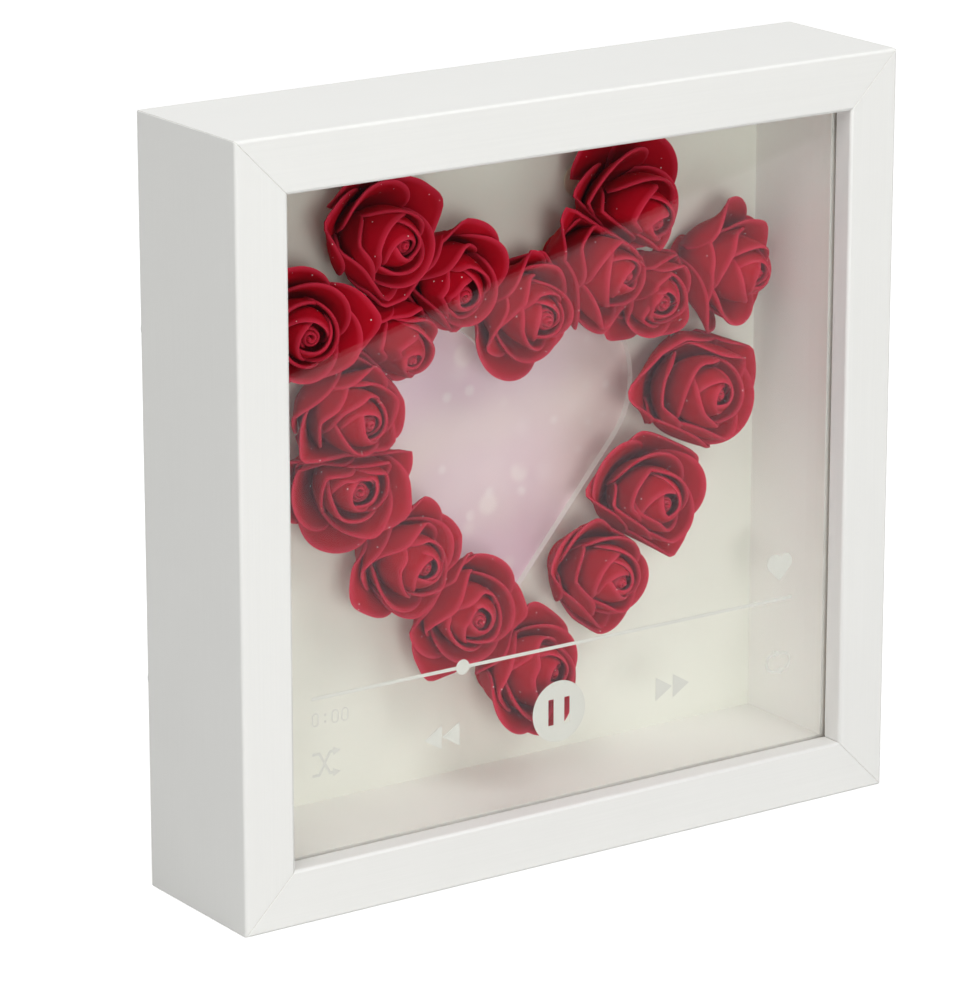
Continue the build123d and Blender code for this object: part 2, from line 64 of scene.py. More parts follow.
class Socket:
    """An output of a node. Sums on it add Math nodes to its tree, and node() adds any other."""

    def __init__(self, tree, output):
        self.tree = tree
        self.output = output

    def node(self, kind, settings=None, inputs=None, output=0):
        made = self.tree.nodes.new(kind)
        for name, value in (settings or {}).items():
            setattr(made, name, value)
        for name, value in (inputs or {}).items():
            if isinstance(value, Socket):
                self.tree.links.new(value.output, made.inputs[name])
            else:
                made.inputs[name].default_value = value
        return Socket(self.tree, made.outputs[output])

    def beside(self, name):
        """Another output of the same node."""
        return Socket(self.tree, self.output.node.outputs[name])

    def math(self, operation, first, second=0.0):
        return self.node("ShaderNodeMath", {"operation": operation}, {0: first, 1: second})

    def __add__(self, other):
        return self.math("ADD", self, other)

    def __radd__(self, other):
        return self.math("ADD", other, self)

    def __sub__(self, other):
        return self.math("SUBTRACT", self, other)

    def __rsub__(self, other):
        return self.math("SUBTRACT", other, self)

    def __mul__(self, other):
        return self.math("MULTIPLY", self, other)

    def __rmul__(self, other):
        return self.math("MULTIPLY", other, self)

    def __pow__(self, other):
        return self.math("POWER", self, other)

    def between(self, low, high):
        """0 below low and 1 above high, with a soft step between them."""
        return self.node(
            "ShaderNodeMapRange",
            {"interpolation_type": "SMOOTHSTEP"},
            {"Value": self, "From Min": low, "From Max": high},
        )

    def mix(self, first, second):
        """The first colour where this is 0, and the second where it is 1."""
        return self.node("ShaderNodeMix", {"data_type": "RGBA"}, {0: self, 6: first, 7: second}, 2)

    def noise(self, scale, detail=2.0, roughness=0.5, stretch=(1, 1, 1)):
        """Noise of about scale bumps to the metre, over a place that stretch squeezes or draws out."""
        place = self.node("ShaderNodeMapping", inputs={"Vector": self, "Scale": stretch})
        values = {"Vector": place, "Scale": scale, "Detail": detail, "Roughness": roughness}
        return self.node("ShaderNodeTexNoise", inputs=values)

    def bump(self, depth, strength):
        """A normal raised by this height, depth metres at most."""
        return self.node("ShaderNodeBump", inputs={"Height": self, "Distance": depth, "Strength": strength})

    def axis(self, name):
        return self.node("ShaderNodeSeparateXYZ", inputs={0: self}, output=name)


def srgb(red, green, blue):
    """A colour written as it looks on a screen, 0 to 255."""
    parts = [part / 255 for part in (red, green, blue)]
    return (*[p / 12.92 if p < 0.04045 else ((p + 0.055) / 1.055) ** 2.4 for p in parts], 1.0)


def new_finish(name):
    """A material, its place in the object, and a function that sets its shader's sockets."""
    material = bpy.data.materials.new(name)
    material.use_nodes = True
    tree = material.node_tree
    shader = tree.nodes["Principled BSDF"]
    place = Socket(tree, tree.nodes.new("ShaderNodeTexCoord").outputs["Object"])

    def coat(inputs):
        for socket, value in inputs.items():
            if isinstance(value, Socket):
                tree.links.new(value.output, shader.inputs[socket])
            else:
                shader.inputs[socket].default_value = value

    return material, place, coat


def drawn_along(axis, squeeze):
    """Scale of a pattern that is drawn out along one axis."""
    return [squeeze if letter == axis else 1.0 for letter in "xyz"]


def white_foil(along):
    """Satin white foil with a faint drawn grain along one axis."""
    material, place, coat = new_finish(f"white_foil_{along}")
    grain = place.noise(2600, 3, 0.6, drawn_along(along, 0.012))
    cloud = place.noise(38, 2)
    tone = grain * 0.7 + cloud * 0.3
    coat({
        "Base Color": tone.mix(srgb(223, 223, 220), srgb(231, 231, 228)),
        "Roughness": 0.40 + grain * 0.14,
        "Normal": grain.bump(0.00003, 0.4),
        "Specular IOR Level": 0.38,
    })
    return material


def raw_mdf():
    """Bare board: tan, with fine fibres and darker flecks."""
    material, place, coat = new_finish("raw_board")
    fibre = place.noise(2400, 4, 0.7)
    fleck = place.noise(700, 2).between(0.62, 0.72)
    tan = fibre.mix(srgb(158, 126, 92), srgb(198, 168, 130))
    coat({
        "Base Color": (fleck * 0.5).mix(tan, srgb(122, 92, 64)),
        "Roughness": 0.8 + fibre * 0.15,
        "Normal": fibre.bump(0.00008, 0.6),
    })
    return material


def rounded_section(corners, steps=5):
    """Outline through right-angled corners, each given with the radius of its rounding."""
    outline = []
    for index, (depth, inward, radius) in enumerate(corners):
        here = np.array([depth, inward])
        before = np.array(corners[index - 1][:2]) - here
        after = np.array(corners[(index + 1) % len(corners)][:2]) - here
        before /= np.linalg.norm(before)
        after /= np.linalg.norm(after)
        middle = here + radius * (before + after)
        for turn in np.linspace(0, pi / 2, steps + 1):
            outline.append(middle - radius * (after * cos(turn) + before * sin(turn)))
    return np.array(outline), steps + 1


def piece(name, points, faces, materials, smooth_below=35):
    """A mesh object at the origin, smooth except across edges sharper than smooth_below degrees."""
    mesh = bpy.data.meshes.new(name)
    mesh.from_pydata([tuple(p) for p in points], [], faces)
    for material in materials:
        mesh.materials.append(material)
    mesh.shade_smooth()
    mesh.set_sharp_from_angle(angle=radians(smooth_below))
    mesh.update()
    made = bpy.data.objects.new(name, mesh)
    bpy.context.scene.collection.objects.link(made)
    return made


section_corners = [
    (moulding_front, 0, edge_round),
    (moulding_back, 0, foil_fold),
    (moulding_back, wall, raw_edge),
    (pane_front, wall, raw_edge),
    (pane_front, lip_width, raw_edge),
    (moulding_front, lip_width, edge_round),
]
raw_sides = (1, 2, 3)  # the back, the step's wall and its seat, by the corner they start from
section, corner_points = rounded_section(section_corners)
section_tangent = np.roll(section, -1, 0) - np.roll(section, 1, 0)
section_tangent /= np.linalg.norm(section_tangent, axis=1)[:, None]
eased_section = section - mitre_ease * np.stack([section_tangent[:, 1], -section_tangent[:, 0]], 1)

# Middle of the outer edge, the way in from it, half the length and the axis that it runs along
rails = {
    "bottom_rail": (Vector((0, 0, 0)), Vector((0, 0, 1)), half_width, "x"),
    "top_rail": (Vector((0, 0, frame_height)), Vector((0, 0, -1)), half_width, "x"),
    "left_stile": (Vector((-half_width, 0, frame_height / 2)), Vector((1, 0, 0)), frame_height / 2, "z"),
    "right_stile": (Vector((half_width, 0, frame_height / 2)), Vector((-1, 0, 0)), frame_height / 2, "z"),
}
foils = {along: white_foil(along) for along in "xz"}
bare_board = raw_mdf()
for name, (middle, inward, half_length, along_axis) in rails.items():
    along = Vector((0, 1, 0)).cross(inward)
    points = []
    rings = [
        (-1, eased_section, mitre_gap),
        (-1, section, mitre_ease * 2),
        (1, section, mitre_ease * 2),
        (1, eased_section, mitre_gap),
    ]
    for end, outline, short_by in rings:
        for depth, across in outline:
            reach = end * (half_length - across - short_by)
            points.append(middle + Vector((0, depth, 0)) + inward * across + along * reach)
    count = len(section)
    faces = []
    bare = []
    rounded = []
    for ring in range(len(rings) - 1):
        for k in range(count):
            after = (k + 1) % count
            first, second = ring * count, (ring + 1) * count
            faces.append((first + k, second + k, second + after, first + after))
            side, step = divmod(k, corner_points)
            rounded.append(step < corner_points - 1)
            bare.append(side in raw_sides and not rounded[-1])
    faces.append(tuple(range(count)))
    faces.append(tuple(reversed(range((len(rings) - 1) * count, len(rings) * count))))
    bare += [True, True]
    rounded += [False, False]
    rail = piece(name + "_moulding", points, faces, [foils[along_axis], bare_board])
    rail.data.polygons.foreach_set("material_index", [int(b) for b in bare])
    rail.data.polygons.foreach_set("use_smooth", rounded)
    shape = bmesh.new()
    shape.from_mesh(rail.data)
    bmesh.ops.recalc_face_normals(shape, faces=shape.faces)
    shape.to_mesh(rail.data)
    shape.free()
    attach(rail, "frame")
    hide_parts(name)


# Pane: a sheet of float glass, cut square and laid against the lip from behind.
# It mirrors a little of the room on both faces and lets the rest through.
mirror_cast = (1.0, 0.90, 0.99, 1.0)  # what the glass mirrors is faintly lilac


def clear_glass():
    """Glass that mirrors more, and shows less behind it, the more slantwise it is seen."""
    material, place, _ = new_finish("clear_glass")
    tree = material.node_tree
    facing = place.node("ShaderNodeLayerWeight", inputs={"Blend": 0.5}, output="Facing")
    mirrored = 0.026 + 0.9 * facing ** 5
    clear = place.node("ShaderNodeBsdfTransparent", inputs={"Color": srgb(253, 254, 253)})
    mirror = place.node("ShaderNodeBsdfGlossy", inputs={"Color": mirror_cast, "Roughness": 0.012})
    both = place.node("ShaderNodeMixShader", inputs={0: mirrored, 1: clear, 2: mirror})
    tree.links.new(both.output, tree.nodes["Material Output"].inputs["Surface"])
    tree.nodes.remove(tree.nodes["Principled BSDF"])
    return material


def give(node, material):
    """Puts a finish on a CAD node."""
    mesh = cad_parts[node].data
    mesh.materials.clear()
    mesh.materials.append(material)


give("front_pane", clear_glass())


# Player print: screen-printed white ink on the inner face of the pane.
# The ink is thin and dull, and its coat is slightly uneven.
def screen_ink():
    material, place, coat = new_finish("white_screen_ink")
    coverage = place.noise(3200, 3, 0.65)
    coat({
        "Base Color": coverage.mix(srgb(214, 213, 206), srgb(225, 224, 217)),
        "Roughness": 0.55 + coverage * 0.2,
        "Normal": coverage.bump(0.00002, 0.4),
    })
    return material


give("player_print", screen_ink())


# Spacers: four wooden strips in smooth white lacquer, standing between the pane and the mat.
# The upright ones run the full height, and the level ones are cut to fit between them.
def white_lacquer():
    material, place, coat = new_finish("white_lacquer")
    flow = place.noise(70, 3)
    dust = place.noise(1400, 2)
    coat({
        "Base Color": flow.mix(srgb(246, 245, 241), srgb(250, 249, 246)),
        "Roughness": 0.10 + flow * 0.14,
        "Normal": (flow * 0.6 + dust * 0.4).bump(0.00005, 0.3),
        "Specular IOR Level": 0.5,
    })
    return material


lacquer = white_lacquer()
for name in ("spacer_left", "spacer_right", "spacer_bottom", "spacer_top"):
    give(name, lacquer)


# Mat: cream card with a white core, with a heart cut through it by a knife.
# The face is lightly felted, and the core shows as a pale line round the window.
def mat_card():
    material, place, coat = new_finish("cream_card")
    felt = place.noise(1500, 5, 0.65)
    fibre = place.noise(420, 3, 0.6, (1, 1, 0.3))
    cloud = place.noise(22, 2)
    cream = (felt * 0.6 + cloud * 0.4).mix(srgb(237, 236, 226), srgb(243, 243, 234))
    across = place.beside("Normal").axis("Y")
    facing_out = across.math("ABSOLUTE", across)
    coat({
        "Base Color": facing_out.between(0.4, 0.7).mix(srgb(244, 243, 238), cream),
        "Roughness": 0.82 + felt * 0.12,
        "Normal": (felt * 0.7 + fibre * 0.3).bump(0.00006, 0.5),
    })
    return material


give("mat_board", mat_card())

# Roses: heads of thin dyed foam, each a rolled strip for the bud with petals pressed round it.
# The petals are cut from 0.9 mm sheet, curl outwards more the further out they stand, and are
# pressed upright where the next rose leaves no room. Each head is glued flat on the mat.
open_rose = (0.024, 0.025)  # reach of the outer petals from the middle, and height
wide_rose = (0.0225, 0.025)
large_rose = (0.0196, 0.025)
medium_rose = (0.018, 0.024)
small_rose = (0.0154, 0.022)
# Size, lean, the way it leans from +X and turn, in degrees, and how far the bud is closed, 0 to 1
rose_looks = {
    "rose_01": (large_rose, 6, 0, 0, 0.5),
    "rose_02": (medium_rose, 18, 240, 130, 0.3),
    "rose_03": (medium_rose, 16, 180, 70, 0.0),
    "rose_04": (small_rose, 25, 290, 200, 0.6),
    "rose_05": (medium_rose, 8, 300, 310, 0.0),
    "rose_06": (wide_rose, 18, 345, 42, 0.4),
    "rose_07": (open_rose, 17, 318, 8, 0.2),
    "rose_08": (small_rose, 12, 225, 65, 0.1),
    "rose_09": (large_rose, 24, 350, 290, 0.5),
    "rose_10": (wide_rose, 7, 36, 71, 0.6),
    "rose_11": (large_rose, 4, 170, 115, 0.5),
    "rose_12": (medium_rose, 8, 330, 220, 0.6),
    "rose_13": (large_rose, 14, 50, 45, 0.5),
    "rose_14": (medium_rose, 8, 200, 170, 0.3),
    "rose_15": (medium_rose, 3, 0, 265, 0.5),
    "rose_16": (large_rose, 12, 180, 90, 0.2),
    "rose_17": (large_rose, 4, 0, 325, 0.3),
}
drooping = {"rose_07": 0.0055}  # how much lower the outer petals of an opened rose lie
off_dot = {"rose_07": (0.0035, 0.0, -0.0035)}  # pressed down beside the middle of its dot of glue
# How far out each petal stands, 0 at the bud and 1 at the outside: four layers, one outside another
petal_shares = (0.0, 0.05, 0.10, 0.30, 0.35, 0.41, 0.61, 0.67, 0.73, 0.86, 0.90, 0.93, 0.97, 1.0)
petal_turn = radians(137.5)
foam = 0.0009
petal_columns = 25
petal_rows = 15
first_seed = 900
mat_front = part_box("mat_board")[0].y
pane_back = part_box("player_print")[1].y
opening_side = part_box("spacer_right")[0].x
opening_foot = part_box("spacer_bottom")[1].z
opening_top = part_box("spacer_top")[0].z


def solid_middles(node):
    """Middle of each separate solid of a CAD node."""
    shape = bmesh.new()
    shape.from_mesh(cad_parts[node].data)
    bmesh.ops.remove_doubles(shape, verts=shape.verts, dist=1e-6)
    unseen = set(shape.verts)
    middles = []
    while unseen:
        group = []
        edge = [unseen.pop()]
        while edge:
            point = edge.pop()
            group.append(point.co.copy())
            for link in point.link_edges:
                other = link.other_vert(point)
                if other in unseen:
                    unseen.remove(other)
                    edge.append(other)
        group = np.array(group)
        middles.append((group.min(0) + group.max(0)) / 2)
    shape.free()
    return np.array(sorted(middles, key=tuple))


def rose_frame(name, lean, toward, turn, height, dots):
    """Foot of a rose on its dot of glue, and its three axes, the last one out along its bud."""
    tilt, way = radians(lean), radians(toward)
    out = np.array([sin(tilt) * cos(way), -cos(tilt), sin(tilt) * sin(way)])
    low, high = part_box(name)
    guess = (np.array(low) + np.array(high)) / 2 - out * height / 2
    foot = dots[np.argmin(np.linalg.norm((dots - guess)[:, [0, 2]], axis=1))].copy()
    foot[1] = high.y
    foot += off_dot.get(name, (0.0, 0.0, 0.0))
    start = np.cross(out, [1, 0, 0])
    start /= np.linalg.norm(start)
    across = start * cos(radians(turn)) + np.cross(out, start) * sin(radians(turn))
    return foot, across, np.cross(out, across), out


def tangent_curve(start, start_angle, end, end_angle, share, fullness=0.42):
    """Curve in a rose's side view that leaves and arrives at angles from its axis; share runs 0 to 1."""
    start, end = np.array(start), np.array(end)
    handle = fullness * np.linalg.norm(end - start)
    leave = start + handle * np.array([sin(start_angle), cos(start_angle)])
    arrive = end - handle * np.array([sin(end_angle), cos(end_angle)])
    s = share[..., None]
    return (1 - s) ** 3 * start + 3 * (1 - s) ** 2 * s * leave + 3 * (1 - s) * s**2 * arrive + s**3 * end


def grade(inner, outer, share):
    return inner + (outer - inner) * share


# Pairs for the petal next to the bud and the outermost one, with the others graded between them
petal_shoulders = (0.46, 0.62)  # share of its length that a petal loses towards its sides
outline_power = 2.2  # of a petal's upper edge: 2 is round, and more is squarer
outline_share = 0.99  # of the round that is used, so that the sides keep some length
petal_half_spreads = (108, 57)  # degrees round the bud
petal_foot_reaches = (0.0016, 0.0042)
petal_foot_heights = (0.30, 0.06)  # of the height of the rose
petal_foot_angles = (32, 78)  # degrees from the axis
petal_tucks = (0.0010, 0.0004)  # by which one side lies further out than the other
# Figures of the outermost petal alone, which fade towards the bud
outer_tip_angle = 88
outer_tip_drop = 0.0115
pinch_depth = 0.0018  # of the point that one petal in five has
pinch_width = 0.2
roll_depth = 0.0024  # by which the corners roll down
ripple_height = 0.0005
ripple_pace = 3.2
# Pairs for an open bud and a closed one
bud_tip_reaches = (0.0031, 0.0012)
bud_tip_angles = (-34, -60)
bud_wrap = 80  # degrees more on each side for the petals that close the bud
bud_wrap_share = 0.05


def petal_sheet(reach, height, share, closed, droop, start_turn, chance):
    """Middle of a petal's sheet as distance, angle and height about the bud; share is 0 at the bud."""
    across = np.linspace(-1, 1, petal_columns)[:, None]
    upward = np.linspace(0, 1, petal_rows)[None, :] ** 0.85
    shoulder = grade(*petal_shoulders, share)
    edge = (1 - np.abs(outline_share * across) ** outline_power) ** 0.5
    along = upward * (1 - shoulder + shoulder * edge)
    tip = (
        grade(grade(*bud_tip_reaches, closed), reach, share**1.1) * chance.normal(1, 0.035),
        height - grade(0.0, outer_tip_drop + droop, share**1.7) + chance.normal(0, 0.0005),
    )
    foot = (grade(*petal_foot_reaches, share), grade(*petal_foot_heights, share) * height)
    leaving = radians(grade(*petal_foot_angles, share))
    tip_angle = grade(grade(*bud_tip_angles, closed), outer_tip_angle, share**1.2)
    arriving = radians(tip_angle + chance.normal(0, 8) * share)
    side = tangent_curve(foot, leaving, tip, arriving, along)
    wrapped = bud_wrap * closed * np.exp(-((share / bud_wrap_share) ** 2))
    half_spread = radians(grade(*petal_half_spreads, share) + wrapped) * chance.normal(1, 0.05)
    angle = start_turn + half_spread * across * (0.8 + 0.2 * upward)
    pointed = chance.choice([0, 0, 0, 0, 1])
    pinch = pointed * share * pinch_depth * np.exp(-((across / pinch_width) ** 2)) * upward**4
    rolled = chance.uniform(0.1, 0.8) * share * roll_depth * np.abs(across) ** 3 * upward**3
    wave = np.sin(ripple_pace * angle + chance.uniform(0, 2 * pi))
    ripple = share * ripple_height * wave * upward**2
    tuck = grade(*petal_tucks, share) * across * upward
    distance = side[..., 0] + tuck + pinch + 0.5 * ripple
    return distance, angle, side[..., 1] - rolled + ripple + 0.4 * pinch


layers_outside = 3.2  # sheets of foam that the innermost petal leaves room for
least_facing = 0.05  # a petal that runs nearly along a wall does not meet it
far_off = 1.0  # the room where no wall is met
least_room = 0.0035  # left to a petal between close walls
free_share = 0.86  # of the room, up to which a petal keeps its shape
wall_blend = 0.002  # over which the lift changes from that of one wall to the next
pane_clearance = 0.0008
mat_clearance = 0.0001


def fitted(distance, angle, rise, share, axes, walls, back=0.0):
    """Points of a petal, held back from the walls round its rose and raised or pressed down where held."""
    foot, across, other, out = axes
    heading = np.cos(angle)[..., None] * across + np.sin(angle)[..., None] * other
    spare = foam / 2 + (1 - share) * layers_outside * foam + back
    lifts = np.array([lift for point, normal, lift in walls])
    # Once as the petal stands, and again where it stands after it was raised or pressed down
    for attempt in range(2):
        on_axis = foot + rise[..., None] * out
        rooms = []
        for point, normal, lift in walls:
            towards = heading @ normal
            clear = (point - on_axis) @ normal - spare
            meeting = clear / np.maximum(towards, least_facing)
            rooms.append(np.where(towards > least_facing, meeting, far_off))
        rooms = np.maximum(rooms, least_room)
        room = rooms.min(0)
        share_used = distance / room
        held = free_share + (1 - free_share) * np.tanh((share_used - free_share) / (1 - free_share))
        shorter = np.where(share_used > free_share, room * held, distance)
        if attempt == 0:
            nearest = np.exp((room - rooms) / wall_blend)
            rise = rise + np.tensordot(lifts, nearest, 1) / nearest.sum(0) * (distance - shorter)
        distance = shorter
    points = foot + rise[..., None] * out + distance[..., None] * heading
    lowest = mat_front - foam / 2 - mat_clearance
    points[..., 1] = np.clip(points[..., 1], pane_back + pane_clearance, lowest)
    return points


def unit(vectors):
    return vectors / np.maximum(np.linalg.norm(vectors, axis=-1, keepdims=True), 1e-12)


def sheet_shell(middle, thickness):
    """Closed shell round a grid of points: two faces and a rounded rim. Also how near each is to the rim."""
    columns, rows = middle.shape[:2]
    down = np.gradient(middle, axis=0)
    up = np.gradient(middle, axis=1)
    normal = unit(np.cross(down, up))
    sides = np.concatenate([middle + normal * thickness / 2, middle - normal * thickness / 2]).reshape(-1, 3)
    index = np.arange(columns * rows).reshape(columns, rows)
    loop = np.concatenate([index[0, :-1], index[:-1, -1], index[-1, :0:-1], index[:0:-1, 0]])
    outward = np.zeros_like(middle)
    outward[0] -= unit(down[0])
    outward[-1] += unit(down[-1])
    outward[:, -1] += unit(up[:, -1])
    outward[:, 0] -= unit(up[:, 0])
    outward = unit(outward.reshape(-1, 3)[loop])
    rim = middle.reshape(-1, 3)[loop] + outward * thickness / 2
    points = np.concatenate([sides, rim])
    size = columns * rows
    a, b = index[:-1, :-1].ravel(), index[1:, :-1].ravel()
    c, d = index[1:, 1:].ravel(), index[:-1, 1:].ravel()
    front = np.stack([a, b, c, d], 1)
    back = np.stack([d, c, b, a], 1) + size
    ring = 2 * size + np.arange(len(loop))
    after = np.roll(ring, -1)
    loop_after = np.roll(loop, -1)
    over = np.stack([loop, loop_after, after, ring], 1)
    under = np.stack([ring, after, loop_after + size, loop + size], 1)
    nearness = np.zeros(len(points))
    nearness[2 * size:] = 1.0
    nearness[np.concatenate([loop, loop + size])] = 0.55
    return points, np.concatenate([front, back, over, under]), nearness


def outward_faces(points, faces):
    """The faces, turned round if the closed shell they make is inside out."""
    a, b, c, d = (points[faces[:, k]] for k in range(4))
    volume = np.einsum("ij,ij->", a, np.cross(b, c)) + np.einsum("ij,ij->", a, np.cross(c, d))
    return faces if volume > 0 else faces[:, ::-1]


bud_foam = 0.00085
bud_turns = (2.1, 2.5)  # the fewest and the most
bud_columns = 58
bud_rows = 7
bud_start = 0.00055  # from the axis to the inner end of the strip
bud_pitch = 0.00118  # outwards from each turn to the next
bud_fall = 0.0009  # downwards from each turn to the next
bud_tightness = 0.4  # how much closer the strip of a closed bud winds
bud_narrowing = 0.15  # towards the top
bud_sink = 0.0003  # of the strip's top below the top of the rose
bud_foot = 0.28  # of the height of the rose
bud_share = 0.6  # the strip gives way to walls as a petal this far out does


def bud_sheet(height, closed, chance):
    """Middle of the rolled strip in the bud, as distance, angle and height; it winds from the middle out."""
    turns = np.linspace(0, chance.uniform(*bud_turns), bud_columns)[:, None]
    upward = np.linspace(0, 1, bud_rows)[None, :]
    distance = (bud_start + bud_pitch * turns) * (1 - bud_tightness * closed) + 0 * upward
    top = height - bud_sink - bud_sink * closed - bud_fall * turns
    lowest = bud_foot * height
    rise = lowest + (top - lowest) * upward
    angle = 2 * pi * turns + 0 * upward
    return distance * (1 - bud_narrowing * upward**2), angle, rise


stem_sides = 24
stem_core = 0.0004  # radius of the small caps that close its ends
stem_radius = 0.0058
stem_skirt = 0.001
stem_neck = 0.0024
stem_top = 0.0096


def stem_lathe(axes, walls):
    """Closed cone of foam that the petals are pressed on, with a flat foot."""
    around = np.linspace(0, 2 * pi, stem_sides, endpoint=False)[:, None]
    profile = [
        (stem_core, 0.0),
        (stem_radius, 0.0),
        (stem_radius, stem_skirt),
        (stem_neck, stem_top),
        (stem_core, stem_top),
    ]
    distance = np.array([p[0] for p in profile])[None, :] + 0 * around
    rise = np.array([p[1] for p in profile])[None, :] + 0 * around
    points = fitted(distance, around + 0 * distance, rise, 1.0, axes, walls)
    rows = len(profile)
    index = np.arange(stem_sides * rows).reshape(stem_sides, rows)
    after = np.roll(index, -1, 0)
    faces = np.stack([index[:, :-1], after[:, :-1], after[:, 1:], index[:, 1:]], -1).reshape(-1, 4)
    caps = [list(index[::-1, 0]), list(index[:, -1])]
    return points.reshape(-1, 3), faces, caps


def dyed_foam():
    """Closed-cell foam dyed deep red: a dull skin with a faint sheen, paler along cut edges, where a painted
    highlight also lightens each petal's rim.
    """
    material, place, coat = new_finish("red_foam")
    nearness = place.node("ShaderNodeAttribute", {"attribute_name": "rim"}, output="Fac")
    cells = place.noise(5200, 2, 0.6)
    cloud = place.noise(160, 3)
    red = (cloud * 0.75 + cells * 0.25).mix(srgb(156, 0, 17), srgb(182, 1, 31))
    coat({
        # Towards the rims the red is mixed to a pale pink: partly the paler cut foam, partly a painted
        # highlight along the petal edges.
        "Base Color": (nearness * 0.58).mix(red, srgb(222, 60, 90)),
        "Roughness": 0.56 + cells * 0.14,
        "Normal": cells.bump(0.00003, 0.35),
        "Specular IOR Level": 0.06,
    })
    return material


rose_gap = 0.0004
side_lift = 0.55  # rise for each length that a petal is pushed back by the box
over_lift = 0.5  # the same where it lies over the next rose
under_lift = 0.1  # and where it lies under it
lap = np.array([0.55, 0, -0.28])  # petals lie over those of the next rose this way, down to the right
lap_depth = np.array([0, 0.005, 0])  # the borders pivot this far below the middle of the roses
bud_room = 0.0065  # the leaning borders keep this clear of the buds
bud_rise = 0.018
steepest = 0.45  # of the leaning borders
glue_dots = solid_middles("glue_dots")
rose_axes = {
    name: rose_frame(name, lean, toward, turn, size[1], glue_dots)
    for name, (size, lean, toward, turn, _) in rose_looks.items()
}
rose_middles = {
    name: rose_axes[name][0] + rose_axes[name][3] * rose_looks[name][0][1] / 2 for name in rose_looks
}
room_walls = [
    (np.array([opening_side - rose_gap, 0, 0]), np.array([1.0, 0, 0]), side_lift),
    (np.array([-opening_side + rose_gap, 0, 0]), np.array([-1.0, 0, 0]), side_lift),
    (np.array([0, 0, opening_top - rose_gap]), np.array([0, 0, 1.0]), side_lift),
    (np.array([0, 0, opening_foot + rose_gap]), np.array([0, 0, -1.0]), side_lift),
]


def rose_walls(name):
    """What a rose has round it: a point of each side or border, the way out through it, and its lift."""
    reach = rose_looks[name][0][0]
    walls = list(room_walls)
    for other, middle in rose_middles.items():
        apart = middle - rose_middles[name]
        other_reach = rose_looks[other][0][0]
        gap = np.linalg.norm(apart)
        if 0 < gap < reach + other_reach:
            part = reach / (reach + other_reach)
            border = rose_middles[name] + apart * part - apart / gap * rose_gap / 2 + lap_depth
            over = 1 if apart @ lap > 0 else -1
            slope = over * np.clip((gap * min(part, 1 - part) - bud_room) / bud_rise, 0, steepest)
            normal = apart / gap + slope * np.array([0, 1, 0])
            walls.append((border, normal / np.linalg.norm(normal), over_lift if over > 0 else under_lift))
    return walls


red_foam = dyed_foam()
foam_points = []
foam_faces = []
for number, (name, ((reach, height), _, _, _, closed)) in enumerate(rose_looks.items()):
    chance = np.random.default_rng(first_seed + number)
    axes = rose_axes[name]
    walls = rose_walls(name)
    shells = []
    for k, share in enumerate(petal_shares):
        start_turn = k * petal_turn + chance.normal(0, 0.1)
        sheet = petal_sheet(reach, height, share, closed, drooping.get(name, 0.0), start_turn, chance)
        middle = fitted(*sheet, share, axes, walls, share * chance.uniform(0, 0.0006))
        shells.append(sheet_shell(middle, foam))
    bud = fitted(*bud_sheet(height, closed, chance), bud_share, axes, walls)
    shells.append(sheet_shell(bud, bud_foam))
    points, faces, nearness, start = [], [], [], 0
    for shell_points, shell_faces, shell_nearness in shells:
        points.append(shell_points)
        faces.append(outward_faces(shell_points, shell_faces) + start)
        nearness.append(shell_nearness)
        start += len(shell_points)
    stem_points, stem_faces, stem_caps = stem_lathe(axes, walls)
    points.append(stem_points)
    faces.append(outward_faces(stem_points, stem_faces) + start)
    nearness.append(np.zeros(len(stem_points)))
    points = np.concatenate(points)
    faces = np.concatenate(faces).tolist() + [[start + i for i in cap] for cap in stem_caps]
    rose = piece(name + "_foam", points, faces, [red_foam], smooth_below=70)
    # The rim values set where red_foam paints its pale edge, a painted highlight along with the paler cut
    # foam.
    rim = rose.data.attributes.new("rim", "FLOAT", "POINT")
    rim.data.foreach_set("value", np.concatenate(nearness).astype(np.float32))
    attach(rose, "frame")
    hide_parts(name)
    placed = sum(map(len, foam_points))
    foam_faces += [[placed + i for i in face] for face in faces]
    foam_points.append(points)


# Glue: a dot of hot-melt under each rose, squeezed out to an uneven lens as the rose was pressed down.
# It is milky and smooth, and hardly shows.
def grown(name, points, faces, sizes, grow):
    """A plain mesh that a geometry tree grows from a starting mesh. sizes are the tree's named inputs."""
    tree = bpy.data.node_groups.new(name, "GeometryNodeTree")
    tree.interface.new_socket("Start", in_out="INPUT", socket_type="NodeSocketGeometry")
    tree.interface.new_socket("Grown", in_out="OUTPUT", socket_type="NodeSocketGeometry")
    keys = {}
    for label, value in sizes.items():
        kind = "NodeSocketInt" if isinstance(value, int) else "NodeSocketFloat"
        keys[label] = tree.interface.new_socket(label, in_out="INPUT", socket_type=kind).identifier
    given = tree.nodes.new("NodeGroupInput")
    result = grow({output.name: Socket(tree, output) for output in given.outputs})
    tree.links.new(result.output, tree.nodes.new("NodeGroupOutput").inputs[0])
    start = piece(name + "_start", points, faces, [])
    modifier = start.modifiers.new(name, "NODES")
    modifier.node_group = tree
    for label, value in sizes.items():
        modifier[keys[label]] = value
    mesh = bpy.data.meshes.new_from_object(start.evaluated_get(bpy.context.evaluated_depsgraph_get()))
    bpy.data.objects.remove(start)
    made = bpy.data.objects.new(name, mesh)
    bpy.context.scene.collection.objects.link(made)
    return made


def hot_melt():
    material, place, coat = new_finish("milky_hot_melt")
    flow = place.noise(300, 2)
    coat({
        "Base Color": flow.mix(srgb(222, 212, 186), srgb(238, 231, 212)),
        "Roughness": 0.24 + flow * 0.14,
        "Normal": flow.bump(0.0001, 0.4),
        "Coat Weight": 0.3,
    })
    return material


milky_glue = hot_melt()


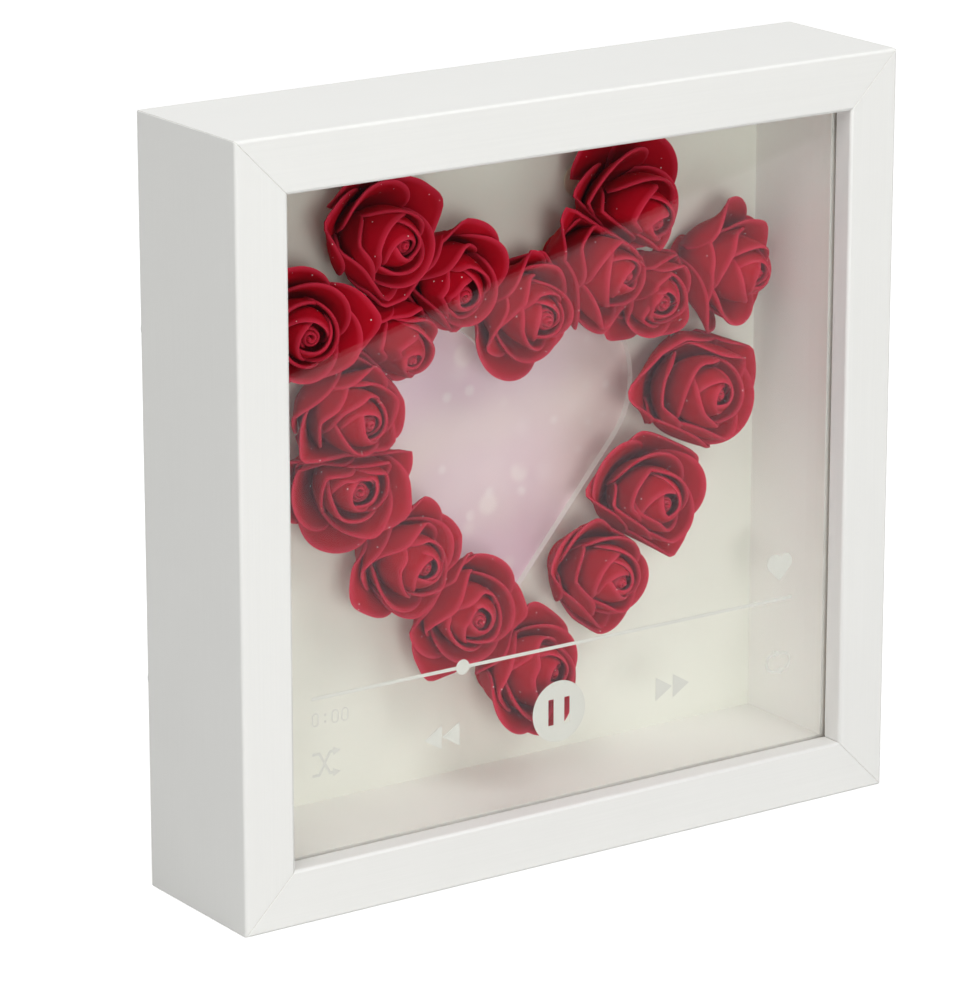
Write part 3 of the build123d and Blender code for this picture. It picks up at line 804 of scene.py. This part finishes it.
def squeezed_dots(given):
    """A flattened, slightly lumpy ball on each starting point, no two of quite the same size."""
    ball = given["Start"].node(
        "GeometryNodeMeshUVSphere", inputs={"Segments": 20, "Rings": 10, "Radius": given["Radius"]}
    )
    lens_scale = ball.node("ShaderNodeCombineXYZ", inputs={"X": 1.0, "Y": given["Flatness"], "Z": 1.0})
    lens = ball.node("GeometryNodeTransform", inputs={"Geometry": ball, "Scale": lens_scale})
    scale = lens.node(
        "FunctionNodeRandomValue", {"data_type": "FLOAT"}, {2: 0.86, 3: 1.0, "Seed": given["Seed"]}, 1
    )
    dots = lens.node(
        "GeometryNodeInstanceOnPoints", inputs={"Points": given["Start"], "Instance": lens, "Scale": scale}
    )
    real = dots.node("GeometryNodeRealizeInstances", inputs={"Geometry": dots})
    swell = real.node("ShaderNodeTexNoise", inputs={"Scale": 160.0}) - 0.5
    normal = real.node("GeometryNodeInputNormal")
    push = normal.node(
        "ShaderNodeVectorMath", {"operation": "SCALE"}, {0: normal, "Scale": swell * given["Swell"]}
    )
    uneven = real.node("GeometryNodeSetPosition", inputs={"Geometry": real, "Offset": push})
    smooth = uneven.node("GeometryNodeSetShadeSmooth", inputs={"Geometry": uneven})
    return smooth.node("GeometryNodeSetMaterial", inputs={"Geometry": smooth, "Material": milky_glue})


dot_low, dot_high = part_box("glue_dots")
dot_thickness = dot_high.y - dot_low.y
dot_radius = 0.0049
glue = grown(
    "glue_lenses",
    glue_dots,
    [],
    {"Radius": dot_radius, "Flatness": dot_thickness / 2 / dot_radius, "Swell": 0.0003, "Seed": 4},
    squeezed_dots,
)
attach(glue, "frame")
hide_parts("glue_dots")


# Glitter: loose mica flakes, dusted over the foam when it was dyed, over a hundred on each rose.
# They lie flat on the petals, most of them out of sight, and catch the light as white specks.
def mica():
    material, place, coat = new_finish("mica_flake")
    glint = place.noise(900, 1)
    coat({
        "Base Color": glint.mix(srgb(228, 214, 214), srgb(250, 246, 244)),
        "Roughness": 0.25 + glint * 0.3,
        "Metallic": 0.2,
    })
    return material


mica_flake = mica()


def dusted(given):
    """Six-sided flakes scattered over the starting mesh, each lying flat just off it."""
    points = given["Start"].node(
        "GeometryNodeDistributePointsOnFaces",
        inputs={"Mesh": given["Start"], "Density": given["Density"], "Seed": given["Seed"]},
    )
    normal = points.beside("Normal")
    lie = points.beside("Rotation")
    rise = normal.node(
        "ShaderNodeVectorMath", {"operation": "SCALE"}, {0: normal, "Scale": given["Lift"]}
    )
    lifted = points.node("GeometryNodeSetPosition", inputs={"Geometry": points, "Offset": rise})
    flake = points.node(
        "GeometryNodeMeshCircle", {"fill_type": "NGON"}, {"Vertices": 6, "Radius": given["Flake"]}
    )
    size = points.node(
        "FunctionNodeRandomValue", {"data_type": "FLOAT"}, {2: 0.5, 3: 1.0, "Seed": given["Seed"]}, 1
    )
    laid = points.node(
        "GeometryNodeInstanceOnPoints",
        inputs={"Points": lifted, "Instance": flake, "Rotation": lie, "Scale": size},
    )
    real = laid.node("GeometryNodeRealizeInstances", inputs={"Geometry": laid})
    return real.node("GeometryNodeSetMaterial", inputs={"Geometry": real, "Material": mica_flake})


glitter = grown(
    "rose_glitter",
    np.concatenate(foam_points),
    foam_faces,
    {"Density": 11000.0, "Flake": 0.0002, "Lift": 0.00006, "Seed": 11},
    dusted,
)
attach(glitter, "frame")


# Picture: an inkjet print on satin paper, taped behind the window.
# It carries soft out-of-focus lights in pale pink, lilac and cream.
def soft_lights():
    material, place, coat = new_finish("pastel_print")
    flat = place.node("ShaderNodeMapping", inputs={"Vector": place, "Scale": (1, 0, 1)})
    wash = flat.noise(26, 2, 0.5)
    warm = flat.noise(17, 1, 0.5, (1, 1, 1.3)).between(0.40, 0.66)
    colour = wash.between(0.35, 0.65).mix(srgb(228, 199, 214), srgb(237, 215, 223))
    colour = (warm * 0.7).mix(colour, srgb(241, 228, 219))
    # Large, middling and small discs of light, each size shown only in patches
    for scale, size, strength, tint in (
        (60, 0.34, 0.45, srgb(250, 238, 240)),
        (92, 0.36, 0.50, srgb(252, 244, 240)),
        (140, 0.30, 0.40, srgb(255, 250, 248)),
    ):
        cells = flat.node(
            "ShaderNodeTexVoronoi", inputs={"Vector": flat, "Scale": scale, "Randomness": 0.8}
        )
        disc = 1 - cells.between(size - 0.20, size)
        pick = flat.noise(scale * 0.45, 0).between(0.41, 0.52)
        colour = (disc * pick * strength).mix(colour, tint)
    coat({
        "Base Color": colour,
        "Roughness": 0.34 + wash * 0.08,
        "Normal": place.noise(1900, 2).bump(0.00002, 0.3),
        "Specular IOR Level": 0.45,
    })
    return material


give("photo_print", soft_lights())


# Back board: 3 mm hardboard, pressed from brown wood fibre, smooth and a little waxy.
# It is cut to drop into the step of the moulding and is held in by the turn buttons.
def hardboard():
    material, place, coat = new_finish("brown_hardboard")
    pulp = place.noise(1300, 5, 0.7)
    strands = place.noise(900, 3, 0.6, (0.25, 1, 1)).between(0.58, 0.70)
    cloud = place.noise(30, 3)
    brown = (pulp * 0.55 + cloud * 0.45).mix(srgb(104, 70, 44), srgb(150, 108, 70))
    coat({
        "Base Color": (strands * 0.4).mix(brown, srgb(178, 138, 96)),
        "Roughness": 0.62 + pulp * 0.2,
        "Normal": (pulp * 0.7 + strands * 0.3).bump(0.00008, 0.5),
    })
    return material


give("back_board", hardboard())


# Fittings on the back: turn buttons, their screws, the hanger, its nails and the corner wedges.
# All are pressed or turned from mild steel and zinc plated, with a cloudy bluish bloom.
def zinc_plate(name, along):
    material, place, coat = new_finish(name)
    scratch = place.noise(5200, 3, 0.6, drawn_along(along, 0.06))
    bloom = place.noise(520, 3)
    colour = bloom.mix(srgb(186, 191, 197), srgb(214, 214, 210))
    coat({
        "Base Color": (scratch.between(0.6, 0.8) * 0.5).mix(colour, srgb(150, 153, 158)),
        "Metallic": 1.0,
        "Roughness": 0.30 + bloom * 0.18 + scratch * 0.1,
        "Normal": scratch.bump(0.00002, 0.5),
    })
    return material


rolled_zinc = zinc_plate("zinc_plate_rolled", "x")
turn_buttons = [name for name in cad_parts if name.startswith("turn_button_")]
for name in turn_buttons + ["sawtooth_hanger", "corner_v_nails"]:
    give(name, rolled_zinc)
drawn_zinc = zinc_plate("zinc_plate_drawn", "y")
for name in ("button_screws", "hanger_nails"):
    give(name, drawn_zinc)

# Stage: a white floor, a dark cloth on the front of it that shows only mirrored in the glass,
# four soft lamps, and the camera, in front to the left and a little above.
white = (1.0, 1.0, 1.0, 1.0)
black = (0.0, 0.0, 0.0, 1.0)
floor_half = 4.0
shadow_fade = (0.4, 4.0)  # squares of the distances over which the floor loses its shadow
near_glow = 0.45  # round the object, where its shadow lies
floor = piece(
    "floor",
    [(x * floor_half, y * floor_half, 0) for x, y in ((-1, -1), (1, -1), (1, 1), (-1, 1))],
    [(0, 1, 2, 3)],
    [],
)
material, place, coat = new_finish("white_floor")
seen = place.node("ShaderNodeLightPath", output="Is Camera Ray")
shine = seen.beside("Is Glossy Ray")
away = (place.axis("X") * place.axis("X") + place.axis("Y") * place.axis("Y")).between(*shadow_fade)
glow = near_glow + (1 - near_glow) * away
coat({
    "Base Color": seen.mix(shine.mix(srgb(222, 222, 221), srgb(250, 250, 250)), white),
    "Roughness": 0.9,
    "Specular IOR Level": 0.0,
    "Emission Color": (seen * glow).mix(black, white),
    "Emission Strength": 1.0,
})
floor.data.materials.append(material)

# Two points of the cloth's edge, which the glass shows as the slanting border of its pale half
cloth_edge = (Vector((0.213, -0.462, 0.001)), Vector((0.4745, -0.5992, 0.001)))
cloth_depth = Vector((0.0, -3.0, 0.0))
cloth_overrun = (cloth_edge[1] - cloth_edge[0]) * 3
cloth_start = cloth_edge[0] - cloth_overrun
cloth_end = cloth_edge[1] + cloth_overrun
cloth = piece(
    "dark_cloth",
    [cloth_start, cloth_start + cloth_depth, cloth_end + cloth_depth, cloth_end],
    [(0, 1, 2, 3)],
    [],
)
material, place, coat = new_finish("dark_cloth")
coat({"Base Color": place.noise(300, 2).mix(srgb(22, 20, 20), srgb(34, 31, 30)), "Roughness": 0.95})
cloth.data.materials.append(material)
cloth.visible_camera = False
cloth.visible_diffuse = False
cloth.visible_transmission = False
cloth.visible_shadow = False

# The room looks white and lights the object only a little, more from the front than from behind
world = bpy.data.worlds.new("studio")
bpy.context.scene.world = world
world.use_nodes = True
tree = world.node_tree
rays = Socket(tree, tree.nodes.new("ShaderNodeLightPath").outputs["Is Camera Ray"])
shown = rays + rays.beside("Is Glossy Ray") + rays.beside("Is Transmission Ray")
before_object = 1 - rays.node("ShaderNodeTexCoord", output="Generated").axis("Y").between(-0.7, 0.5)
ambient = 0.12 + 0.15 * before_object
strength = ambient + (1 - ambient) * shown.math("MINIMUM", shown, 1.0)
tree.nodes["Background"].inputs["Color"].default_value = white
tree.links.new(strength.output, tree.nodes["Background"].inputs["Strength"])


def soft_lamp(name, place, aim, size, watts):
    """A round lamp that is never seen itself, not mirrored either."""
    data = bpy.data.lights.new(name, "AREA")
    data.shape = "DISK"
    data.size = size
    data.energy = watts
    lamp = bpy.data.objects.new(name, data)
    lamp.location = place
    lamp.rotation_mode = "QUATERNION"
    lamp.rotation_quaternion = (Vector(aim) - Vector(place)).to_track_quat("-Z", "Y")
    lamp.visible_camera = False
    lamp.visible_glossy = False
    bpy.context.scene.collection.objects.link(lamp)


middle = (0, 0, frame_height / 2)
soft_lamp("right_lamp", (0.56, -1.53, 1.73), middle, 1.4, 16)
soft_lamp("left_lamp", (-1.44, -1.01, 1.58), middle, 1.4, 14)
soft_lamp("front_lamp", (-0.85, -2.21, 0.46), middle, 0.8, 16.5)
soft_lamp("top_lamp", (-0.2, 0.1, 1.8), middle, 1.8, 15)

image_side = 981  # pixels, the longer side of the picture
focal_pixels = 5019.36
camera_place = (-0.707147, -1.006385, 0.449417)
yaw = 0.6048
pitch = 0.2821
ahead = Vector((sin(yaw) * cos(pitch), cos(yaw) * cos(pitch), -sin(pitch)))
right = Vector((cos(yaw), -sin(yaw), 0))
up = right.cross(ahead)
camera_data = bpy.data.cameras.new("camera")
camera_data.sensor_width = 36
camera_data.lens = focal_pixels * camera_data.sensor_width / image_side
camera = bpy.data.objects.new("camera", camera_data)
turn = Matrix((right, up, -ahead)).transposed().to_4x4()
camera.matrix_world = Matrix.Translation(camera_place) @ turn
bpy.context.scene.collection.objects.link(camera)
bpy.context.scene.camera = camera
bpy.context.scene.view_settings.view_transform = "Standard"
